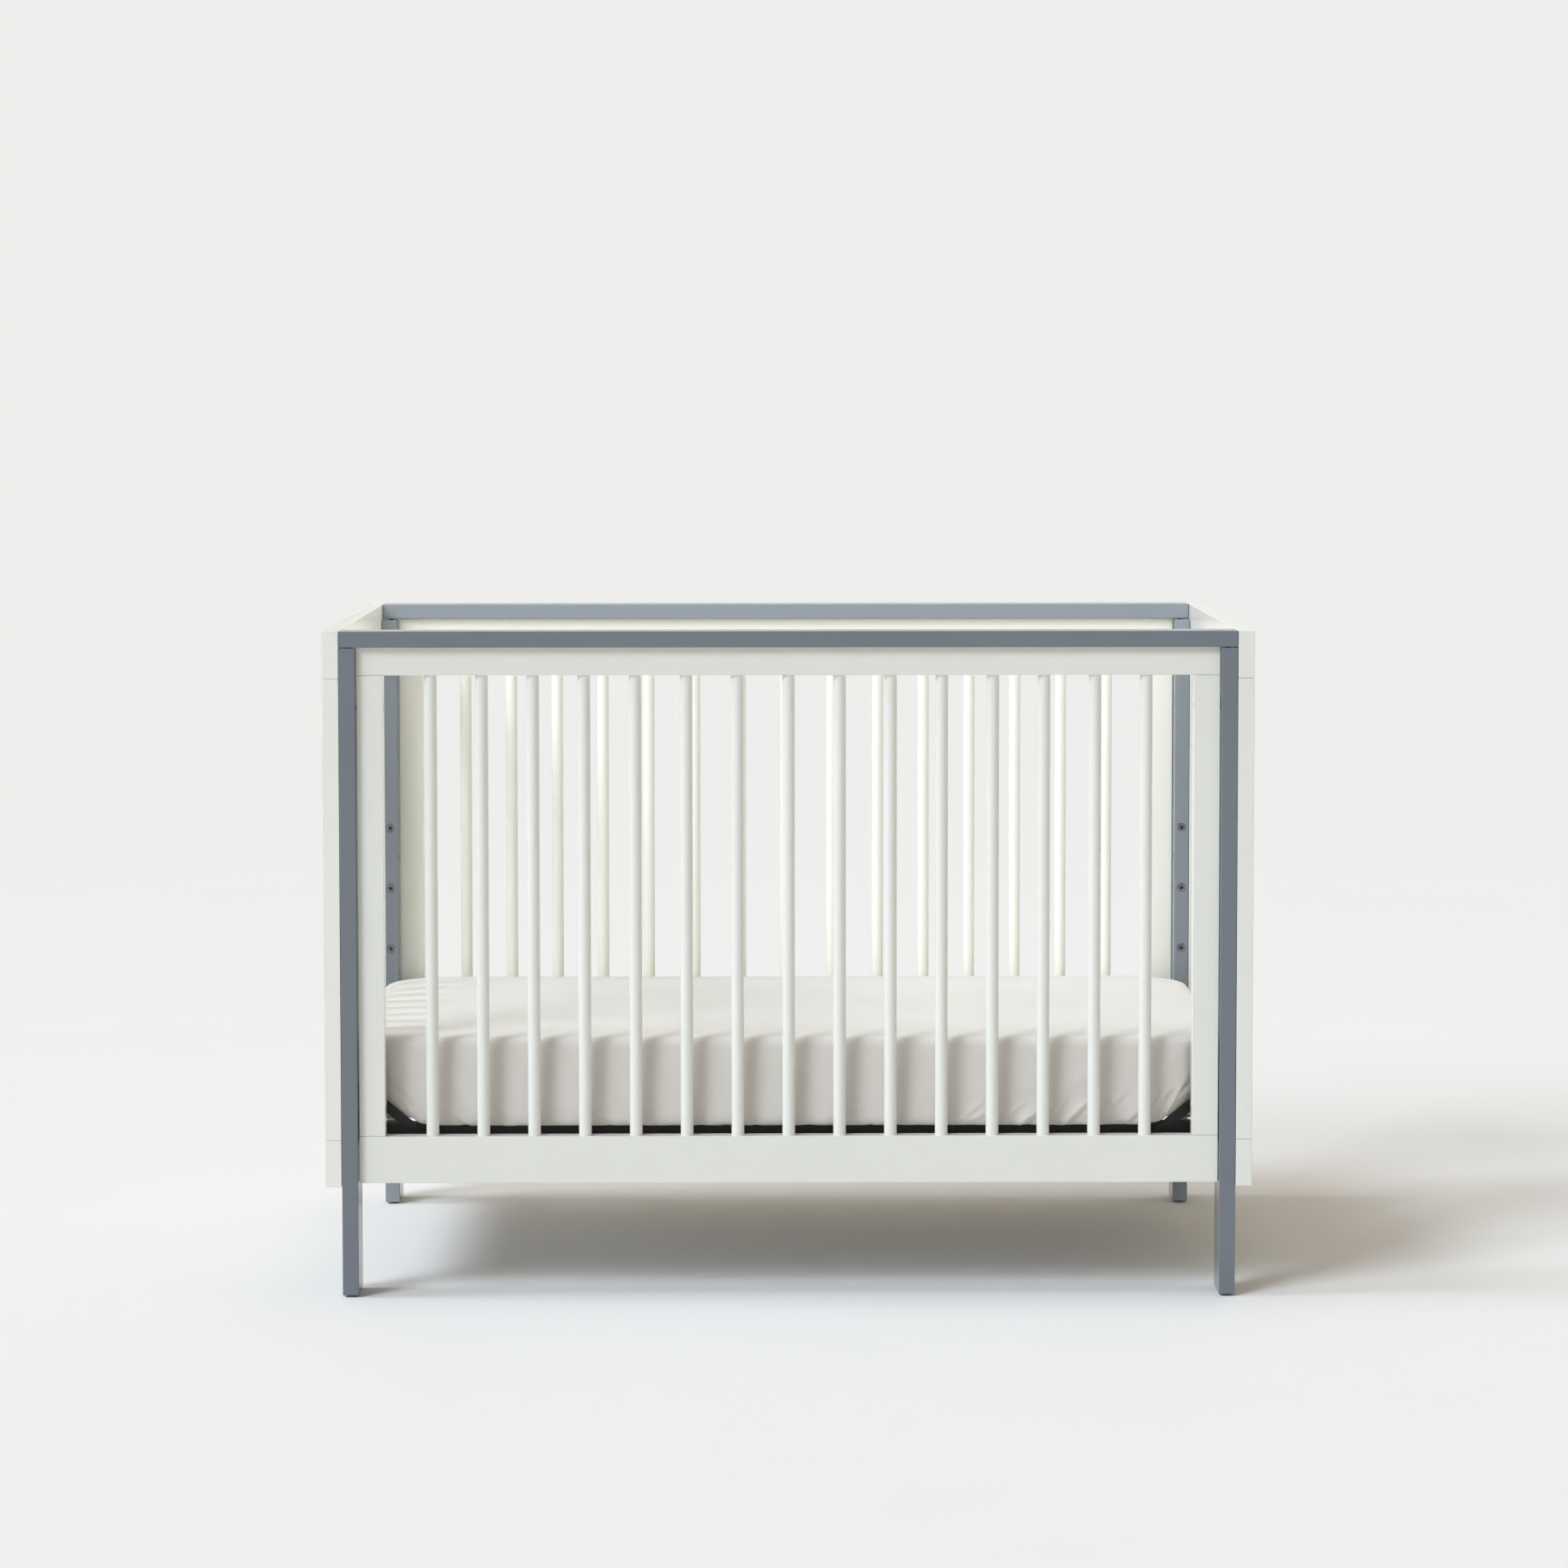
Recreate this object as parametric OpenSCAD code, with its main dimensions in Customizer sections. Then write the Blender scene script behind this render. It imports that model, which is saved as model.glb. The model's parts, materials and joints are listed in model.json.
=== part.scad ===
// Baby crib with slatted sides, an adjustable steel mattress support, a mattress and a fitted sheet.
// Millimetres. X runs along the crib, -Y is the front, Z is up from the floor under its centre.

/* [Crib] */
// Clear length between the two end panels
inner_length = 1330; // [1310:5:1350]
// Clear width between the front and rear side frames
inner_width = 711; // [700:1:725]
// Height of the cap rails' top face above the floor
crib_height = 994; // [960:1:1020]

/* [Boards] */
// Thickness of every board: legs, rails, stiles, caps and end panels
board = 24; // [22:1:26]
// Depth of each leg, front to back
leg_depth = 68; // [60:1:72]
// Depth of a cap rail, front to back
cap_depth = 47; // [40:1:50]
// Distance that the side frames stand back behind the legs' outer faces
side_recess = 10; // [6:1:12]
// Gap left beside a leg where a cap or an end panel is fitted against it
fit_gap = 0.5; // [0.3:0.1:0.8]
// Gap between a leg and the stile beside it
stile_gap = 1.2; // [0.8:0.1:2]
// Gap between a leg's top and the cap rail over it
cap_gap = 1.2; // [0.5:0.1:1.5]
// Open line left between a stile and each rail it is glued to
joint_line = 0.4; // [0.1:0.1:0.6]
// Edge rounding of the grey legs and caps
leg_edge = 1.5; // [1:0.25:2]
// Edge rounding of the white boards
panel_edge = 1; // [0.5:0.25:1.5]

/* [Side frames] */
// Height of the side frames' underside above the floor
side_bottom = 170; // [150:5:190]
// Height of the top rail
side_top_rail = 42; // [36:1:50]
// Height of the bottom rail
side_bottom_rail = 70; // [60:1:80]
// Width of a stile
side_stile = 39; // [36:1:45]
// Number of spindles in each side frame
side_spindle_count = 15; // [15:1:15]
// Distance between side spindle centres
side_pitch = 75.8; // [75:0.1:76]

/* [End panels] */
// Height of the end panels' underside above the floor
end_bottom = 166; // [150:2:190]
// Height of the top and bottom rails of an end panel
end_rail = 70; // [60:1:80]
// Number of spindles in each end panel
end_spindle_count = 8; // [8:1:9]

/* [Spindles] */
// Diameter of a spindle
spindle_d = 19; // [17:0.5:20]
// Diameter of the tenon at each end of a spindle
tenon_d = 12; // [10:0.5:14]
// Length of a tenon
tenon_l = 12; // [10:1:14]

/* [Mattress support] */
// Height of the support's top face when it hangs from the lowest inserts
support_top = 249; // [240:1:260]
// Outer length of the steel frame
frame_length = 1300; // [1290:5:1304]
// Height of the angle section
angle_height = 28; // [25:1:32]
// Width of the angle section's top flange
angle_flange = 22; // [20:1:25]
// Thickness of the angle section
angle_wall = 2.5; // [2:0.5:3]
// Width of a hanger arm
arm_width = 15; // [14:1:18]
// Thickness of a hanger arm
arm_thickness = 3; // [2.5:0.1:3]
// Diameter of the deck wires
wire_d = 2.6; // [2:0.2:3]
// Number of wires along the deck
long_wire_count = 11; // [9:2:11]
// Number of wires across the deck
cross_wire_count = 9; // [7:2:9]
// Outer diameter of the springs at the wires' ends
spring_d = 8; // [7:0.5:8]

/* [Inserts] */
// Height of the lowest mattress insert above the floor
insert_first = 326; // [326:1:330]
// Height step from one insert to the next
insert_step = 100; // [90:5:100]
// Number of inserts in each leg
insert_count = 4; // [3:1:4]

/* [Mattress] */
// Length of the mattress with its sheet
mattress_length = 1316; // [1306:2:1320]
// Width of the mattress with its sheet
mattress_width = 694; // [686:2:700]
// Thickness of the mattress with its sheet
mattress_height = 132; // [120:2:150]
// Radius of the mattress corners in plan
mattress_corner = 88; // [86:1:100]
// Thickness of the fitted sheet
sheet_thickness = 1; // [0.8:0.1:1.5]
// Width of sheet that is tucked under the mattress
sheet_hem = 60; // [50:5:80]

/* [Hidden] */
$fn = 48;

grey_paint = "#7d858b";
white_paint = "#e6e8e2";
zinc = "#b9bcbe";
beech = "#d8b98c";
black_enamel = "#17181a";
nylon = "#d9d9d6";
sheet_colour = "#efebe4";
ticking = "#f4f3ef";

// Crib planes, each measured from the centre or the floor
leg_inner_x = inner_length / 2 - fit_gap - board;
leg_x = leg_inner_x + board / 2;
side_inner_y = inner_width / 2;
side_y = side_inner_y + board / 2;
leg_outer_y = side_inner_y + board + side_recess;
leg_inner_y = leg_outer_y - leg_depth;
leg_y = leg_outer_y - leg_depth / 2;
end_x = inner_length / 2 + board / 2;
glide_height = 3;
leg_top = crib_height - board - cap_gap;
cap_y = leg_outer_y - cap_depth / 2;
side_top = crib_height - board;
side_half = leg_inner_x - stile_gap;
end_stile = leg_depth;

// Screwed joints: M6 bolts in threaded sleeves
bolt_d = 6;
bolt_hole_d = 6.6;
head_d = 10.5;
head_h = 6;
sink_d = 12;
sleeve_d = 9.4;
sleeve_hole_d = 9.5;
sleeve_bore_d = 6.1;
sleeve_l = 18.5;
sleeve_hole_l = 19;
hex_d = 5.8;
hex_depth = 3;
panel_bolt_inset = 48;
panel_bolt_sink = 8;
panel_bolt_heights = [side_bottom + side_bottom_rail + panel_bolt_inset,
                      side_top - side_top_rail - panel_bolt_inset];
leg_bolt_sink = 7;
leg_bolt_y = (leg_inner_y + side_inner_y) / 2;
leg_bolt_heights = [end_bottom + end_rail / 2, insert_first + 2.5 * insert_step,
                    crib_height - end_rail - 40];
insert_flange_d = 12.8;
insert_flange_h = 1.5;
insert_flange_gap = 0.7;
insert_heights = [for (i = [0:insert_count - 1]) insert_first + i * insert_step];

// Glued joints: 8 mm dowels
dowel_d = 8;
dowel_hole_d = 8.1;
dowel_l = 32;
dowel_hole_l = dowel_l / 2 + 0.5;
stile_dowels = [-9.5, 9.5];
end_dowels = [-17, 17];
cap_dowel_x = [-leg_x, -300, 0, 300, leg_x];
socket_d = tenon_d + 0.1;
socket_l = tenon_l + 0.5;

// Mattress support
frame_x = frame_length / 2;
frame_y = leg_inner_y - arm_thickness - 0.5;
arm_y = frame_y + 0.2;
arm_angle = 39.6;
pivot_height = support_top - angle_height / 2;
elbow = [leg_x, insert_first - 10];
pivot = [leg_x - (elbow.y - pivot_height) / tan(arm_angle), pivot_height];
arm_hole_d = 6.4;
rivet_d = 6;
rivet_head_d = 11;
rivet_head_h = 2;
support_head_d = 12;
support_head_h = 4;
washer_d = 14;
washer_h = 1.5;
long_wire_z = support_top - angle_wall - spring_d / 2 - 0.5;
cross_wire_z = long_wire_z + wire_d + 0.05;
long_wire_pitch = 54;
cross_wire_pitch = 140;
spring_l = 50;
spring_end_x = frame_x - angle_wall - 0.2;

// Mattress, resting on the support
mattress_z = support_top + 0.2;
arm_clearance = 1.5;
ramp_depth = 50;
ramp_x = pivot.x + (mattress_z - pivot.y) / tan(arm_angle)
    - (arm_width / 2 + arm_clearance) / sin(arm_angle);

// Flat shapes and boards
module rounded_rect(w, h, r) {
    square([w - 2 * r, h], center = true);
    square([w, h - 2 * r], center = true);
    for (x = [-1, 1], y = [-1, 1]) translate([x * (w / 2 - r), y * (h / 2 - r)]) circle(r);
}

module board_block(size, r) {
    intersection() {
        linear_extrude(size.z, center = true) rounded_rect(size.x, size.y, r);
        rotate([90, 0, 0]) linear_extrude(size.y, center = true) rounded_rect(size.x, size.z, r);
        rotate([90, 0, 90]) linear_extrude(size.x, center = true) rounded_rect(size.y, size.z, r);
    }
}

// A bar from p to q with round ends
module link(p, q, w) {
    reach = q - p;
    translate(p) rotate(atan2(reach.y, reach.x)) translate([0, -w / 2]) square([norm(reach), w]);
    translate(p) circle(w / 2);
    translate(q) circle(w / 2);
}

// Cylinder from height z0 to z1
module rod(x, y, z0, z1, d) {
    translate([x, y, z0]) cylinder(d = d, h = z1 - z0);
}

// Cylinder along X from x0 outwards to x1, on the side given by sx
module rod_x(sx, x0, x1, y, z, d) {
    translate([sx * x0, y, z]) rotate([0, sx * 90, 0]) cylinder(d = d, h = x1 - x0);
}

// Cylinder along Y from y0 outwards to y1, on the side given by sy
module rod_y(sy, x, y0, y1, z, d) {
    translate([x, sy * y0, z]) rotate([-sy * 90, 0, 0]) cylinder(d = d, h = y1 - y0);
}

module hex_x(sx, x0, depth, y, z) {
    translate([sx * (x0 - 1), y, z]) rotate([0, sx * 90, 0]) cylinder(d = hex_d, h = depth + 1, $fn = 6);
}

// Legs and cap rails
module leg(sx, sy) {
    color(grey_paint) difference() {
        translate([sx * leg_x, sy * leg_y, (leg_top + glide_height) / 2])
            board_block([board, leg_depth, leg_top - glide_height], leg_edge);
        for (z = insert_heights) {
            rod_y(sy, sx * leg_x, leg_inner_y - 1, leg_inner_y + sleeve_hole_l + 1, z, sleeve_hole_d);
            rod_y(sy, sx * leg_x, leg_inner_y - 1, leg_inner_y + insert_flange_h + 0.1, z,
                insert_flange_d + 2 * insert_flange_gap);
        }
        for (z = panel_bolt_heights)
            rod_x(sx, leg_inner_x - 1, leg_inner_x + sleeve_hole_l, sy * side_y, z, sleeve_hole_d);
        for (z = leg_bolt_heights) {
            rod_x(sx, leg_inner_x - 1, leg_inner_x + board + 1, sy * leg_bolt_y, z, bolt_hole_d);
            rod_x(sx, leg_inner_x - 1, leg_inner_x + leg_bolt_sink, sy * leg_bolt_y, z, sink_d);
        }
        rod(sx * leg_x, sy * cap_y, leg_top - dowel_hole_l, leg_top + 1, dowel_hole_d);
    }
}

function cap_dowel_y(x) = abs(x) == leg_x ? cap_y : side_y;

module cap_rail(sy) {
    color(grey_paint) difference() {
        translate([0, sy * cap_y, crib_height - board / 2])
            board_block([inner_length - 2 * fit_gap, cap_depth, board], leg_edge);
        for (x = cap_dowel_x)
            rod(x, sy * cap_dowel_y(x), side_top - 1, side_top + dowel_hole_l, dowel_hole_d);
    }
}

// Side frames, front and rear
side_spindle_x = [for (i = [0:side_spindle_count - 1]) (i - (side_spindle_count - 1) / 2) * side_pitch];
side_stile_x = side_half - side_stile / 2;
side_open_low = side_bottom + side_bottom_rail;
side_open_high = side_top - side_top_rail;

module side_rail(sy, low, high, joint, up) {
    color(white_paint) difference() {
        translate([0, sy * side_y, (low + high) / 2])
            board_block([2 * side_half, board, high - low], panel_edge);
        for (x = side_spindle_x)
            rod(x, sy * side_y, min(joint - up, joint + up * socket_l),
                max(joint - up, joint + up * socket_l), socket_d);
        for (sx = [-1, 1], dx = stile_dowels)
            rod(sx * side_stile_x + dx, sy * side_y, min(joint - up, joint + up * dowel_hole_l),
                max(joint - up, joint + up * dowel_hole_l), dowel_hole_d);
        if (up > 0)
            for (x = cap_dowel_x)
                if (abs(x) < leg_x)
                    rod(x, sy * cap_dowel_y(x), side_top - dowel_hole_l, side_top + 1, dowel_hole_d);
    }
}

module side_top_rail_board(sy) {
    side_rail(sy, side_open_high, side_top, side_open_high, 1);
}

module side_bottom_rail_board(sy) {
    side_rail(sy, side_bottom, side_open_low, side_open_low, -1);
}

module side_stile_board(sx, sy) {
    color(white_paint) difference() {
        translate([sx * side_stile_x, sy * side_y, (side_open_low + side_open_high) / 2])
            board_block([side_stile, board, side_open_high - side_open_low - 2 * joint_line], panel_edge);
        for (z = panel_bolt_heights) {
            rod_x(sx, side_half - side_stile - 1, side_half + 1, sy * side_y, z, bolt_hole_d);
            rod_x(sx, side_half - side_stile - 1, side_half - side_stile + panel_bolt_sink,
                sy * side_y, z, sink_d);
        }
        for (dx = stile_dowels) {
            rod(sx * side_stile_x + dx, sy * side_y, side_open_low - 1,
                side_open_low + dowel_hole_l, dowel_hole_d);
            rod(sx * side_stile_x + dx, sy * side_y, side_open_high - dowel_hole_l,
                side_open_high + 1, dowel_hole_d);
        }
    }
}

module spindle(x, y, low, high) {
    rod(x, y, low, high, spindle_d);
    rod(x, y, low - tenon_l, low + 1, tenon_d);
    rod(x, y, high - 1, high + tenon_l, tenon_d);
}

module side_spindles(sy) {
    color(white_paint) for (x = side_spindle_x)
        spindle(x, sy * side_y, side_open_low, side_open_high);
}

// End panels, left and right
end_opening = 2 * (leg_outer_y - end_stile);
end_pitch = (end_opening + spindle_d) / (end_spindle_count + 1);
end_spindle_y = [for (i = [0:end_spindle_count - 1]) (i - (end_spindle_count - 1) / 2) * end_pitch];
end_stile_y = leg_outer_y - end_stile / 2;
end_open_low = end_bottom + end_rail;
end_open_high = crib_height - end_rail;

module end_rail_board(sx, low, high, joint, up) {
    color(white_paint) difference() {
        translate([sx * end_x, 0, (low + high) / 2])
            board_block([board, 2 * leg_outer_y, high - low], panel_edge);
        for (y = end_spindle_y)
            rod(sx * end_x, y, min(joint - up, joint + up * socket_l),
                max(joint - up, joint + up * socket_l), socket_d);
        for (sy = [-1, 1], dy = end_dowels)
            rod(sx * end_x, sy * end_stile_y + dy, min(joint - up, joint + up * dowel_hole_l),
                max(joint - up, joint + up * dowel_hole_l), dowel_hole_d);
        if (up < 0) for (sy = [-1, 1]) end_sleeve_hole(sx, sy, leg_bolt_heights[0]);
    }
}

module end_sleeve_hole(sx, sy, z) {
    rod_x(sx, inner_length / 2 - 1, inner_length / 2 + sleeve_hole_l, sy * leg_bolt_y, z, sleeve_hole_d);
}

module end_top_rail_board(sx) {
    end_rail_board(sx, end_open_high, crib_height, end_open_high, 1);
}

module end_bottom_rail_board(sx) {
    end_rail_board(sx, end_bottom, end_open_low, end_open_low, -1);
}

module end_stile_board(sx, sy) {
    color(white_paint) difference() {
        translate([sx * end_x, sy * end_stile_y, (end_open_low + end_open_high) / 2])
            board_block([board, end_stile, end_open_high - end_open_low - 2 * joint_line], panel_edge);
        for (i = [1, 2]) end_sleeve_hole(sx, sy, leg_bolt_heights[i]);
        for (dy = end_dowels) {
            rod(sx * end_x, sy * end_stile_y + dy, end_open_low - 1,
                end_open_low + dowel_hole_l, dowel_hole_d);
            rod(sx * end_x, sy * end_stile_y + dy, end_open_high - dowel_hole_l,
                end_open_high + 1, dowel_hole_d);
        }
    }
}

module end_spindles(sx) {
    color(white_paint) for (y = end_spindle_y)
        spindle(sx * end_x, y, end_open_low, end_open_high);
}

// Fasteners of the wooden frame
module height_inserts() {
    color(zinc) for (sx = [-1, 1], sy = [-1, 1], z = insert_heights) difference() {
        union() {
            rod_y(sy, sx * leg_x, leg_inner_y, leg_inner_y + sleeve_l, z, sleeve_d);
            rod_y(sy, sx * leg_x, leg_inner_y, leg_inner_y + insert_flange_h, z, insert_flange_d);
        }
        rod_y(sy, sx * leg_x, leg_inner_y - 1, leg_inner_y + sleeve_l - 2, z, sleeve_bore_d);
    }
}

module sleeve_x(sx, x0, y, z) {
    difference() {
        rod_x(sx, x0, x0 + sleeve_l, y, z, sleeve_d);
        rod_x(sx, x0 - 1, x0 + sleeve_l + 1, y, z, sleeve_bore_d);
    }
}

module socket_bolt_x(sx, x0, x1, y, z) {
    difference() {
        union() {
            rod_x(sx, x0, x0 + head_h, y, z, head_d);
            rod_x(sx, x0 + head_h - 1, x1, y, z, bolt_d);
        }
        hex_x(sx, x0, hex_depth, y, z);
    }
}

module panel_bolts() {
    start = side_half - side_stile + panel_bolt_sink - head_h;
    color(zinc) for (sx = [-1, 1], sy = [-1, 1], z = panel_bolt_heights)
        socket_bolt_x(sx, start, leg_inner_x + sleeve_l - 1, sy * side_y, z);
}

module panel_inserts() {
    color(zinc) for (sx = [-1, 1], sy = [-1, 1], z = panel_bolt_heights)
        sleeve_x(sx, leg_inner_x + 0.2, sy * side_y, z);
}

module leg_bolts() {
    start = leg_inner_x + leg_bolt_sink - head_h;
    color(zinc) for (sx = [-1, 1], sy = [-1, 1], z = leg_bolt_heights)
        socket_bolt_x(sx, start, inner_length / 2 + sleeve_l - 1, sy * leg_bolt_y, z);
}

module end_inserts() {
    color(zinc) for (sx = [-1, 1], sy = [-1, 1], z = leg_bolt_heights)
        sleeve_x(sx, inner_length / 2 + 0.2, sy * leg_bolt_y, z);
}

module cap_dowels() {
    color(beech) for (sy = [-1, 1], x = cap_dowel_x)
        rod(x, sy * cap_dowel_y(x), side_top - dowel_l / 2, side_top + dowel_l / 2, dowel_d);
}

module frame_dowels() {
    color(beech) {
        for (sx = [-1, 1], sy = [-1, 1], dx = stile_dowels, z = [side_open_low, side_open_high])
            rod(sx * side_stile_x + dx, sy * side_y, z - dowel_l / 2, z + dowel_l / 2, dowel_d);
        for (sx = [-1, 1], sy = [-1, 1], dy = end_dowels, z = [end_open_low, end_open_high])
            rod(sx * end_x, sy * end_stile_y + dy, z - dowel_l / 2, z + dowel_l / 2, dowel_d);
    }
}

module foot_glides() {
    color(nylon) for (sx = [-1, 1], sy = [-1, 1])
        rod(sx * leg_x, sy * leg_y, 0, glide_height, board - 4);
}

// Steel mattress support
module support_side_rail(sy) {
    low = support_top - angle_height;
    color(black_enamel) difference() {
        union() {
            translate([-frame_x, min(sy * frame_y, sy * (frame_y - angle_wall)), low])
                cube([frame_length, angle_wall, angle_height]);
            translate([-frame_x, min(sy * frame_y, sy * (frame_y - angle_flange)),
                    support_top - angle_wall])
                cube([frame_length, angle_flange, angle_wall]);
        }
        for (sx = [-1, 1])
            rod_y(sy, sx * pivot.x, frame_y - angle_wall - 1, frame_y + 1, pivot.y, arm_hole_d);
    }
}

module support_end_rail(sx) {
    low = support_top - angle_height;
    flange_half = frame_y - angle_flange - 0.2;
    wall_half = frame_y - angle_wall - 0.2;
    color(black_enamel) union() {
        translate([min(sx * frame_x, sx * (frame_x - angle_wall)), -wall_half, low])
            cube([angle_wall, 2 * wall_half, angle_height - angle_wall - 0.2]);
        translate([min(sx * frame_x, sx * (frame_x - angle_wall)), -flange_half, low])
            cube([angle_wall, 2 * flange_half, angle_height]);
        translate([min(sx * frame_x, sx * (frame_x - angle_flange)), -flange_half,
                support_top - angle_wall])
            cube([angle_flange, 2 * flange_half, angle_wall]);
    }
}

// Bent flat bar from the frame up to a leg's insert
module hanger(sx, sy) {
    color(black_enamel) translate([0, sy > 0 ? arm_y + arm_thickness : -arm_y, 0])
        rotate([90, 0, 0]) linear_extrude(arm_thickness) difference() {
            union() {
                link([sx * pivot.x, pivot.y], [sx * elbow.x, elbow.y], arm_width);
                link([sx * elbow.x, elbow.y], [sx * leg_x, insert_first], arm_width);
            }
            translate([sx * leg_x, insert_first]) circle(d = arm_hole_d);
            translate([sx * pivot.x, pivot.y]) circle(d = arm_hole_d);
        }
}

module hanger_rivets() {
    color(black_enamel) for (sx = [-1, 1], sy = [-1, 1]) {
        rod_y(sy, sx * pivot.x, arm_y + arm_thickness, arm_y + arm_thickness + rivet_head_h,
            pivot.y, rivet_head_d);
        rod_y(sy, sx * pivot.x, frame_y - angle_wall - rivet_head_h + 0.5,
            arm_y + arm_thickness + 0.5, pivot.y, rivet_d);
        rod_y(sy, sx * pivot.x, frame_y - angle_wall - rivet_head_h, frame_y - angle_wall,
            pivot.y, rivet_head_d - 2);
    }
}

module support_bolts() {
    head_y = arm_y - washer_h;
    color(zinc) for (sx = [-1, 1], sy = [-1, 1]) difference() {
        union() {
            rod_y(sy, sx * leg_x, head_y - support_head_h, head_y, insert_first, support_head_d);
            rod_y(sy, sx * leg_x, head_y - 1, leg_inner_y - 0.2, insert_first, bolt_d);
        }
        translate([sx * leg_x, sy * (head_y - support_head_h - 1), insert_first])
            rotate([-sy * 90, 0, 0]) cylinder(d = hex_d, h = hex_depth, $fn = 6);
    }
}

module support_washers() {
    color(zinc) for (sx = [-1, 1], sy = [-1, 1]) difference() {
        rod_y(sy, sx * leg_x, arm_y - washer_h, arm_y, insert_first, washer_d);
        rod_y(sy, sx * leg_x, arm_y - washer_h - 1, arm_y + 1, insert_first, arm_hole_d);
    }
}

long_wire_y = [for (i = [0:long_wire_count - 1]) (i - (long_wire_count - 1) / 2) * long_wire_pitch];
cross_wire_x = [for (i = [0:cross_wire_count - 1]) (i - (cross_wire_count - 1) / 2) * cross_wire_pitch];

module deck_long_wires() {
    color(black_enamel) for (y = long_wire_y)
        translate([0, y, long_wire_z]) rotate([0, 90, 0])
            cylinder(d = wire_d, h = 2 * (spring_end_x - spring_l), center = true);
}

module deck_cross_wires() {
    color(black_enamel) for (x = cross_wire_x)
        translate([x, 0, cross_wire_z]) rotate([90, 0, 0])
            cylinder(d = wire_d, h = 2 * (frame_y - angle_wall - 0.1), center = true);
}

module deck_springs() {
    color(zinc) for (sx = [-1, 1], y = long_wire_y)
        rod_x(sx, spring_end_x - spring_l, spring_end_x, y, long_wire_z, spring_d);
}

// Mattress outline shrunk by inset, with a ramp cut over each hanger arm
module mattress_form(inset) {
    slope = tan(arm_angle);
    low = mattress_z + inset;
    start = ramp_x - inset / sin(arm_angle) + inset / slope;
    reach = mattress_length;
    difference() {
        translate([0, 0, low]) linear_extrude(mattress_height - 2 * inset)
            rounded_rect(mattress_length - 2 * inset, mattress_width - 2 * inset, mattress_corner - inset);
        for (sx = [-1, 1], sy = [-1, 1])
            translate([0, sy * (mattress_width / 2 - ramp_depth / 2 + 1 - inset / 2), 0])
                rotate([90, 0, 0]) linear_extrude(ramp_depth + inset + 2, center = true)
                    polygon([[sx * (start - 10), low - 10 * slope], [sx * reach, low - 10 * slope],
                             [sx * reach, low + (reach - start) * slope]]);
    }
}

module mattress_core() {
    color(ticking) mattress_form(sheet_thickness);
}

module fitted_sheet() {
    hem = sheet_hem + sheet_thickness;
    color(sheet_colour) difference() {
        mattress_form(0);
        mattress_form(sheet_thickness);
        translate([0, 0, mattress_z - 1]) linear_extrude(sheet_thickness + 2)
            rounded_rect(mattress_length - 2 * hem, mattress_width - 2 * hem, mattress_corner);
    }
}

leg(-1, -1);  // leg_front_left
leg(1, -1);  // leg_front_right
leg(-1, 1);  // leg_rear_left
leg(1, 1);  // leg_rear_right
cap_rail(-1);  // cap_rail_front
cap_rail(1);  // cap_rail_rear
side_top_rail_board(-1);  // front_top_rail
side_bottom_rail_board(-1);  // front_bottom_rail
side_stile_board(-1, -1);  // front_stile_left
side_stile_board(1, -1);  // front_stile_right
side_spindles(-1);  // front_spindles
side_top_rail_board(1);  // rear_top_rail
side_bottom_rail_board(1);  // rear_bottom_rail
side_stile_board(-1, 1);  // rear_stile_left
side_stile_board(1, 1);  // rear_stile_right
side_spindles(1);  // rear_spindles
end_top_rail_board(-1);  // left_end_top_rail
end_bottom_rail_board(-1);  // left_end_bottom_rail
end_stile_board(-1, -1);  // left_end_stile_front
end_stile_board(-1, 1);  // left_end_stile_rear
end_spindles(-1);  // left_end_spindles
end_top_rail_board(1);  // right_end_top_rail
end_bottom_rail_board(1);  // right_end_bottom_rail
end_stile_board(1, -1);  // right_end_stile_front
end_stile_board(1, 1);  // right_end_stile_rear
end_spindles(1);  // right_end_spindles
height_inserts();
panel_bolts();
panel_inserts();
leg_bolts();
end_inserts();
cap_dowels();
frame_dowels();
foot_glides();
support_side_rail(-1);  // support_rail_front
support_side_rail(1);  // support_rail_rear
support_end_rail(-1);  // support_rail_left
support_end_rail(1);  // support_rail_right
hanger(-1, -1);  // hanger_front_left
hanger(1, -1);  // hanger_front_right
hanger(-1, 1);  // hanger_rear_left
hanger(1, 1);  // hanger_rear_right
hanger_rivets();
support_bolts();
support_washers();
deck_long_wires();
deck_cross_wires();
deck_springs();
mattress_core();
fitted_sheet();
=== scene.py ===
import json
import math

import bmesh
import bpy
import numpy as np
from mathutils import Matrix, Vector
from mathutils.bvhtree import BVHTree


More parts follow.
